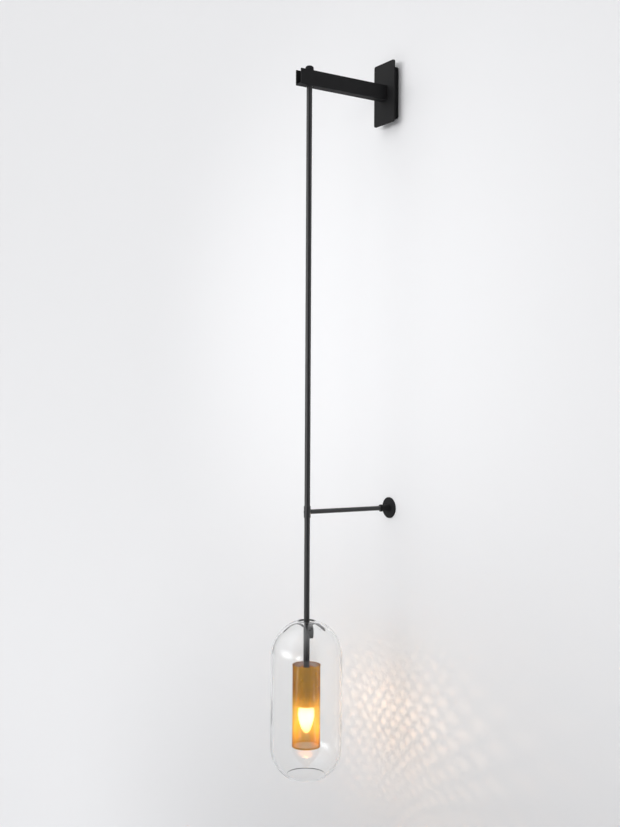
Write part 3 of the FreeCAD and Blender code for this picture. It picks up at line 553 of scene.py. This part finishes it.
def capsule_outline(settings):
    """The glass from its top hole down the outside, round the mouth's lip and up the inside."""
    low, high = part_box("glass_shade")
    outer = min(high.x - low.x, high.y - low.y) / 2
    inner = outer - settings.wall
    middle = outer - settings.wall / 2
    top_angle = math.asin(settings.top_opening / 2 / outer)
    mouth_angle = math.pi - math.asin(settings.bottom_opening / 2 / outer)
    mouth_drop = -outer * math.cos(mouth_angle)
    lip_drop = settings.wall / 2 * math.sin(mouth_angle)
    top_centre = (0.0, high.z - outer * math.cos(top_angle))
    bottom_centre = (0.0, low.z + mouth_drop + lip_drop)
    side = math.pi / 2
    points = arc_points(top_centre, outer, top_angle, side, DOME_STEPS)
    points += arc_points(bottom_centre, outer, side, mouth_angle, DOME_STEPS)
    lip_centre = (middle * math.sin(mouth_angle), bottom_centre[1] + middle * math.cos(mouth_angle))
    points += arc_points(lip_centre, settings.wall / 2, mouth_angle, mouth_angle + math.pi, LIP_STEPS)[1:-1]
    points += arc_points(bottom_centre, inner, mouth_angle, side, DOME_STEPS)
    points += arc_points(top_centre, inner, side, top_angle, DOME_STEPS)
    return points


# Geometry nodes

class Tree(Nodes):
    """A geometry node tree with named inputs, whose end is plain geometry in one material."""

    def __init__(self, name, inputs):
        super().__init__(bpy.data.node_groups.new(name, "GeometryNodeTree"))
        for socket_name, kind in inputs:
            self.tree.interface.new_socket(name=socket_name, in_out="INPUT", socket_type=kind)
        self.tree.interface.new_socket(name="Geometry", in_out="OUTPUT", socket_type="NodeSocketGeometry")
        self.start = self.add("NodeGroupInput")
        self.end = self.add("NodeGroupOutput")

    def given(self, name):
        return self.start.outputs[name]

    def vector(self, x=0.0, y=0.0, z=0.0):
        return self.add("ShaderNodeCombineXYZ", {"X": x, "Y": y, "Z": z}).outputs[0]

    def finish(self, geometry):
        """Ends in plain geometry with the given material."""
        real = self.add("GeometryNodeRealizeInstances", {"Geometry": geometry}).outputs[0]
        painted = self.add("GeometryNodeSetMaterial",
                           {"Geometry": real, "Material": self.given("Material")}).outputs[0]
        self.feed(painted, self.end.inputs["Geometry"])

    def mesh(self, values):
        """The plain mesh that the tree makes of the given inputs."""
        holder = bpy.data.objects.new("holder", bpy.data.meshes.new("holder"))
        bpy.context.scene.collection.objects.link(holder)
        modifier = holder.modifiers.new("nodes", "NODES")
        modifier.node_group = self.tree
        for item in self.tree.interface.items_tree:
            if item.item_type == "SOCKET" and item.in_out == "INPUT":
                modifier[item.identifier] = values[item.name]
        graph = bpy.context.evaluated_depsgraph_get()
        graph.update()
        mesh = bpy.data.meshes.new_from_object(holder.evaluated_get(graph), depsgraph=graph)
        holder.modifiers.remove(modifier)
        bpy.data.objects.remove(holder)
        return mesh


def diamond_frame(tree):
    """One flat diamond with a diamond hole, closed all round, in its own plane."""
    blank = tree.add("GeometryNodeMeshCircle", {"Vertices": 4, "Radius": 1.0}, fill_type="NGON").outputs[0]
    size = tree.vector(tree.given("Half Width"), tree.given("Half Height"), 1.0)
    blank = tree.add("GeometryNodeTransform", {"Geometry": blank, "Scale": size}).outputs[0]
    inset = tree.add("GeometryNodeExtrudeMesh", {"Mesh": blank, "Offset Scale": 0.0, "Individual": True},
                     mode="FACES")
    shrunk = tree.add("GeometryNodeScaleElements",
                      {"Geometry": inset.outputs["Mesh"], "Selection": inset.outputs["Top"],
                       "Scale": tree.given("Opening")}).outputs[0]
    ring = tree.add("GeometryNodeDeleteGeometry",
                    {"Geometry": shrunk, "Selection": inset.outputs["Top"]}, domain="FACE").outputs[0]
    raised = tree.add("GeometryNodeExtrudeMesh",
                      {"Mesh": ring, "Offset": tree.vector(z=tree.given("Wall")), "Offset Scale": 1.0,
                       "Individual": False}, mode="FACES").outputs[0]
    back = tree.add("GeometryNodeFlipFaces", {"Mesh": ring}).outputs[0]
    both = tree.add("GeometryNodeJoinGeometry")
    tree.join(raised, both.inputs[0])
    tree.join(back, both.inputs[0])
    merge_distance = 0.00001
    return tree.add("GeometryNodeMergeByDistance",
                    {"Geometry": both.outputs[0], "Distance": merge_distance}).outputs[0]


def pierced_tube_tree():
    """Diamond frames side by side round a tube, each row half a step on from the last."""
    tree = Tree("Pierced Tube", [
        ("Columns", "NodeSocketInt"), ("Rows", "NodeSocketInt"), ("Radius", "NodeSocketFloat"),
        ("Bottom", "NodeSocketFloat"), ("Axis", "NodeSocketVector"), ("Half Width", "NodeSocketFloat"),
        ("Half Height", "NodeSocketFloat"), ("Opening", "NodeSocketFloat"), ("Wall", "NodeSocketFloat"),
        ("Material", "NodeSocketMaterial")])
    index = tree.add("GeometryNodeInputIndex").outputs[0]
    columns = tree.given("Columns")
    row = tree.math("FLOOR", tree.math("DIVIDE", index, columns))
    column = tree.math("MODULO", index, columns)
    shift = tree.math("MULTIPLY", tree.math("MODULO", row, 2.0), 0.5)
    turn = tree.math("DIVIDE", tree.math("ADD", column, shift), columns)
    angle = tree.math("MULTIPLY", turn, 2 * math.pi)
    height = tree.math("MULTIPLY", tree.math("ADD", row, 1.0), tree.given("Half Height"))
    around = tree.vector(
        tree.math("MULTIPLY", tree.math("COSINE", angle), tree.given("Radius")),
        tree.math("MULTIPLY", tree.math("SINE", angle), tree.given("Radius")),
        tree.math("ADD", height, tree.given("Bottom")))
    place = tree.vector_math("ADD", around, tree.given("Axis"))["Vector"]
    count = tree.math("MULTIPLY", columns, tree.given("Rows"))
    points = tree.add("GeometryNodePoints", {"Count": count, "Position": place}).outputs[0]
    facing = tree.vector(math.pi / 2, 0.0, tree.math("ADD", angle, math.pi / 2))
    copies = tree.add("GeometryNodeInstanceOnPoints",
                      {"Points": points, "Instance": diamond_frame(tree), "Rotation": facing}).outputs[0]
    tree.finish(copies)
    return tree


# Operators

class WALLLIGHT_OT_black_parts(bpy.types.Operator):
    """Coats the plate, arm and flange in matt black and the tubes in satin, and blackens the steel"""
    bl_idname = "wall_light.black_parts"
    bl_label = "Black Parts"

    def execute(self, context):
        settings = context.scene.wall_light_coat
        give(BLACK_COATED, black_coat(settings, "black_coat", settings.matt_roughness, MATT_GLOSS))
        give(SATIN_TUBES, black_coat(settings, "black_coat_satin", settings.satin_roughness, SATIN_GLOSS))
        give(BLACK_SCREWS, black_steel("black_screw", *SCREW_FINISH))
        give(("spider",), black_steel("black_spring", *SPRING_FINISH))
        return {"FINISHED"}


class WALLLIGHT_OT_fittings(bpy.types.Operator):
    """Finishes the bracket, screws, terminal block, bushes and grommets"""
    bl_idname = "wall_light.fittings"
    bl_label = "Fittings"

    def execute(self, context):
        give(ZINC_PLATED, plated("zinc_steel", *ZINC_FINISH))
        give(NICKEL_PLATED, plated("cap_metal", *NICKEL_FINISH))
        give(("terminal_block",), moulded("pale_plastic", *PALE_PLASTIC))
        give(DARK_MOULDED, moulded("dark_plastic", *DARK_PLASTIC))
        give(SOFT_RUBBER, moulded("soft_rubber", *RUBBER_FINISH))
        return {"FINISHED"}


class WALLLIGHT_OT_glass(bpy.types.Operator):
    """Blows the clear capsule with its two openings"""
    bl_idname = "wall_light.glass"
    bl_label = "Glass Capsule"

    def execute(self, context):
        settings = context.scene.wall_light_glass
        mesh = lathe(capsule_outline(settings), settings.sides)
        capsule = new_piece("glass_capsule", mesh, "glass", clear_glass(settings))
        capsule.visible_shadow = False
        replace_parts(capsule, "glass_shade")
        return {"FINISHED"}


class WALLLIGHT_OT_mesh_tube(bpy.types.Operator):
    """Pierces the gilt tube with rows of small diamonds"""
    bl_idname = "wall_light.mesh_tube"
    bl_label = "Mesh Tube"

    def execute(self, context):
        settings = context.scene.wall_light_mesh
        finish = (tuple(settings.colour), GILT_ROUGHNESS, tuple(settings.edge_colour))
        give(GILT, plated("gilt_metal", *finish))
        net = plated("gilt_mesh", *finish)
        # Painted glow: the net gives off a warm light of its own round the lamp
        painted_lamp_glow(net, context.scene.wall_light_lamp)
        low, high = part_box("mesh_tube")
        reach = (high.x - low.x) / 2
        half_width = math.pi * reach / settings.columns
        half_height = (high.z - low.z) / (settings.rows + 1)
        slant = math.hypot(half_width, half_height)
        values = {
            "Columns": settings.columns,
            "Rows": settings.rows,
            "Radius": math.sqrt(reach ** 2 - half_width ** 2) - settings.wall,
            "Bottom": low.z,
            "Axis": ROD_AXIS,
            "Half Width": half_width,
            "Half Height": half_height,
            "Opening": 1 - settings.bar / 2 * slant / (half_width * half_height),
            "Wall": settings.wall,
            "Material": net,
        }
        mesh = pierced_tube_tree().mesh(values)
        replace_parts(new_piece("mesh_net", mesh, "rod", net), "mesh_tube")
        return {"FINISHED"}


class WALLLIGHT_OT_lamp(bpy.types.Operator):
    """Lights the lamp and lets it shine through the net"""
    bl_idname = "wall_light.lamp"
    bl_label = "Lamp"

    def execute(self, context):
        settings = context.scene.wall_light_lamp
        low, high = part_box("lamp_glass")
        material = lit_envelope(settings, low.z, high.z)
        give(("lamp_glass", "lamp_stem"), material)
        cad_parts["lamp_glass"].visible_shadow = False
        for name, size, share in (("lamp_light", PATTERN_LIGHT_SIZE, 1.0),
                                  ("lamp_haze", HAZE_LIGHT_SIZE, settings.haze)):
            light = bpy.data.lights.new(name, "POINT")
            light.energy = settings.power * share
            light.color = settings.light_colour
            light.shadow_soft_size = size
            holder = bpy.data.objects.new(name, light)
            holder.location = (low + high) / 2
            context.scene.collection.objects.link(holder)
        return {"FINISHED"}


def flat_sheet(name, corners, material):
    """A flat four-sided sheet of the stage."""
    mesh = bpy.data.meshes.new(name)
    mesh.from_pydata(corners, [], [(0, 1, 2, 3)])
    mesh.materials.append(material)
    sheet = bpy.data.objects.new(name, mesh)
    bpy.context.scene.collection.objects.link(sheet)


def plaster_with_painted_light(name, colour, see_through_back):
    """Matt paint with a painted pool of light and a painted shade. A wall that is seen from behind lets the view
    through.
    """
    material, shader, surface = new_material(name)
    paint = tuple(colour)
    # Painted light and shade: a lighter pool round the middle and a darker shade low down to the right
    for centre, reach, share in PAINTED_LIGHT_AND_SHADE:
        paint = shader.blend(shader.soft_spot(centre, reach), paint, tuple(share * part for part in colour))
    shader.join(paint, surface.inputs["Base Color"])
    surface.inputs["Roughness"].default_value = 0.95
    surface.inputs["Specular IOR Level"].default_value = 0.2
    if see_through_back:
        choice = shader.add("ShaderNodeMixShader")
        shader.join(shader.add("ShaderNodeNewGeometry").outputs["Backfacing"], choice.inputs[0])
        shader.join(surface.outputs[0], choice.inputs[1])
        shader.join(shader.add("ShaderNodeBsdfTransparent").outputs[0], choice.inputs[2])
        output = material.node_tree.nodes["Material Output"]
        shader.join(choice.outputs[0], output.inputs["Surface"])
    return material


def soft_lamp(shader, direction, level, azimuth, height, width, depth, strength):
    """The light that a soft lamp sends from one side of the studio, at infinity."""
    azimuth, height = math.radians(azimuth), math.radians(height)
    middle = (math.cos(height) * math.cos(azimuth), math.cos(height) * math.sin(azimuth), math.sin(height))
    facing = shader.vector_math("DOT_PRODUCT", direction, middle)["Value"]
    fall = shader.math("MULTIPLY_ADD", facing, 1 / width ** 2, -1 / width ** 2)
    off = shader.math("MULTIPLY_ADD", level, 1 / depth, -math.sin(height) / depth)
    fall = shader.math("MULTIPLY_ADD", shader.math("MULTIPLY", off, off), -0.5, fall)
    return shader.math("MULTIPLY", shader.math("EXPONENT", fall), strength)


def studio_world(scene):
    """A dim room with soft lamps, which looks pale to the camera and straight through the glass."""
    scene.world = bpy.data.worlds.new("studio")
    scene.world.use_nodes = True
    shader = Shader(scene.world.node_tree)
    background = scene.world.node_tree.nodes["Background"]
    direction = shader.add("ShaderNodeTexCoord").outputs["Generated"]
    level = shader.part(direction, "Z")
    light = shader.spread(level, *ROOM_LEVELS, *ROOM_LIGHT)
    for lamp in STUDIO_LAMPS:
        light = shader.math("ADD", light, soft_lamp(shader, direction, level, *lamp))
    path = shader.add("ShaderNodeLightPath")
    bounces = shader.math("ADD", path.outputs["Glossy Depth"], path.outputs["Diffuse Depth"])
    straight = shader.math("LESS_THAN", bounces, 0.5)
    through = shader.math("MULTIPLY", path.outputs["Is Transmission Ray"], straight)
    seen = shader.math("MAXIMUM", path.outputs["Is Camera Ray"], through)
    as_lit, as_seen = MIX_NUMBERS
    strength = shader.add("ShaderNodeMix", {MIX_SHARE: seen, as_lit: light, as_seen: ROOM_PALE}, data_type="FLOAT")
    background.inputs["Color"].default_value = (*WHITE, 1.0)
    shader.join(strength.outputs[MIXED_NUMBER], background.inputs["Strength"])


class WALLLIGHT_OT_stage(bpy.types.Operator):
    """Sets up the pale wall and floor, the soft lights and the camera"""
    bl_idname = "wall_light.stage"
    bl_label = "Stage"

    def execute(self, context):
        scene = context.scene
        settings = scene.wall_light_stage
        far = STAGE_REACH
        floor = settings.floor_height
        flat_sheet("stage_wall", [(-far, 0, floor), (far, 0, floor), (far, 0, STAGE_TOP), (-far, 0, STAGE_TOP)],
                   plaster_with_painted_light("wall_paint_with_painted_light", settings.wall_colour, True))
        flat_sheet("stage_floor", [(-far, -far, floor), (far, -far, floor), (far, far, floor), (-far, far, floor)],
                   plaster_with_painted_light("floor_paint_with_painted_light", settings.floor_colour, False))
        studio_world(scene)
        scene.view_settings.view_transform = "Standard"
        camera = bpy.data.cameras.new("camera")
        camera.sensor_width = SENSOR_WIDTH
        camera.lens = settings.focal_pixels / settings.long_side * camera.sensor_width
        camera.clip_end = VIEW_DEPTH
        holder = bpy.data.objects.new("camera", camera)
        turn = Matrix.Rotation(settings.camera_turn, 4, "Z")
        upright = Matrix.Rotation(math.pi / 2, 4, "X")
        lean = Matrix.Rotation(settings.camera_roll, 4, "Z")
        holder.matrix_world = Matrix.Translation(settings.camera_place) @ turn @ upright @ lean
        scene.collection.objects.link(holder)
        scene.camera = holder
        return {"FINISHED"}


class WALLLIGHT_PT_panel(bpy.types.Panel):
    """The steps that finish the wall light"""
    bl_idname = "WALLLIGHT_PT_panel"
    bl_label = "Wall Light"
    bl_space_type = "VIEW_3D"
    bl_region_type = "UI"
    bl_category = "Wall Light"

    def draw(self, context):
        for step in STEPS:
            self.layout.operator(step.bl_idname)
        for name, group in SETTINGS.items():
            box = self.layout.box()
            for key in group.__annotations__:
                box.prop(getattr(context.scene, name), key)


STEPS = (WALLLIGHT_OT_black_parts, WALLLIGHT_OT_fittings, WALLLIGHT_OT_glass, WALLLIGHT_OT_mesh_tube,
         WALLLIGHT_OT_lamp, WALLLIGHT_OT_stage)


def register():
    for item in (*SETTINGS.values(), *STEPS, WALLLIGHT_PT_panel):
        bpy.utils.register_class(item)
    for name, group in SETTINGS.items():
        setattr(bpy.types.Scene, name, bpy.props.PointerProperty(type=group))


def unregister():
    for name in SETTINGS:
        delattr(bpy.types.Scene, name)
    for item in (WALLLIGHT_PT_panel, *reversed(STEPS), *reversed(SETTINGS.values())):
        bpy.utils.unregister_class(item)


def main():
    register()
    for step in STEPS:
        module, name = step.bl_idname.split(".")
        if getattr(getattr(bpy.ops, module), name)() != {"FINISHED"}:
            raise RuntimeError(step.bl_label + " did not finish")


if __name__ == "__main__":
    main()
